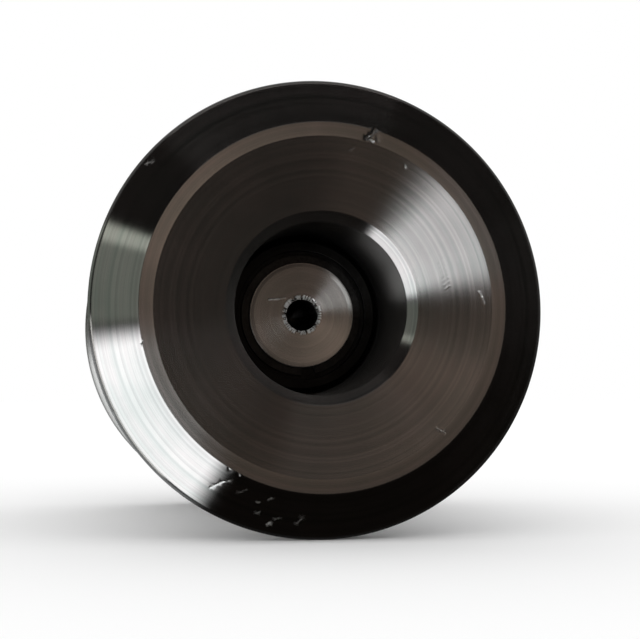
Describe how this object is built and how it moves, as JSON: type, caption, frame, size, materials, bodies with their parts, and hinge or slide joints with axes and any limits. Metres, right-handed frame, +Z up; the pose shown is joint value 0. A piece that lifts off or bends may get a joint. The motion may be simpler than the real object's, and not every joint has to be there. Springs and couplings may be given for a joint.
{
  "type": "track roller",
  "caption": "Flanged steel track roller that turns on bushings over a fixed shaft, with floating face seals and a tapped shaft end in the recess at each side.",
  "frame": {"origin": "centre of the roller, on its axis and midway between its two end faces", "axes": "+Y along the roller's axis towards its back end, +Z up towards the fill plug; the front end faces -Y"},
  "size_m": [0.2, 0.23, 0.2],
  "materials": {
    "shell_steel": "turned and hardened, dark oiled",
    "shaft_steel": "turned end face, ground journal",
    "carrier_steel": "dark phosphated",
    "bronze": "bored bronze",
    "spring_steel": "oiled black spring steel",
    "seal_iron": "ground, lapped faces",
    "seal_rubber": "moulded nitrile",
    "plug_steel": "zinc-free dark steel",
    "copper": "annealed copper"
  },
  "bodies": {
    "axle": {"axle_shaft": "shaft_steel", "seal_carrier_front": "carrier_steel", "seal_carrier_back": "carrier_steel", "thrust_washer_front": "bronze", "thrust_washer_back": "bronze", "snap_ring_front": "spring_steel", "snap_ring_back": "spring_steel", "carrier_o_ring_front": "seal_rubber", "carrier_o_ring_back": "seal_rubber", "fixed_seal_ring_front": "seal_iron", "fixed_seal_ring_back": "seal_iron", "fixed_toric_front": "seal_rubber", "fixed_toric_back": "seal_rubber"},
    "roller": {"roller_shell": "shell_steel", "bushing_front": "bronze", "bushing_back": "bronze", "turning_seal_ring_front": "seal_iron", "turning_seal_ring_back": "seal_iron", "turning_toric_front": "seal_rubber", "turning_toric_back": "seal_rubber", "fill_plug": "plug_steel", "plug_washer": "copper"}
  },
  "joints": [
    {"name": "roller_spin", "type": "hinge", "parent": "axle", "child": "roller", "pos_m": [0, 0, 0], "axis": [0, 1, 0], "continuous": true}
  ]
}
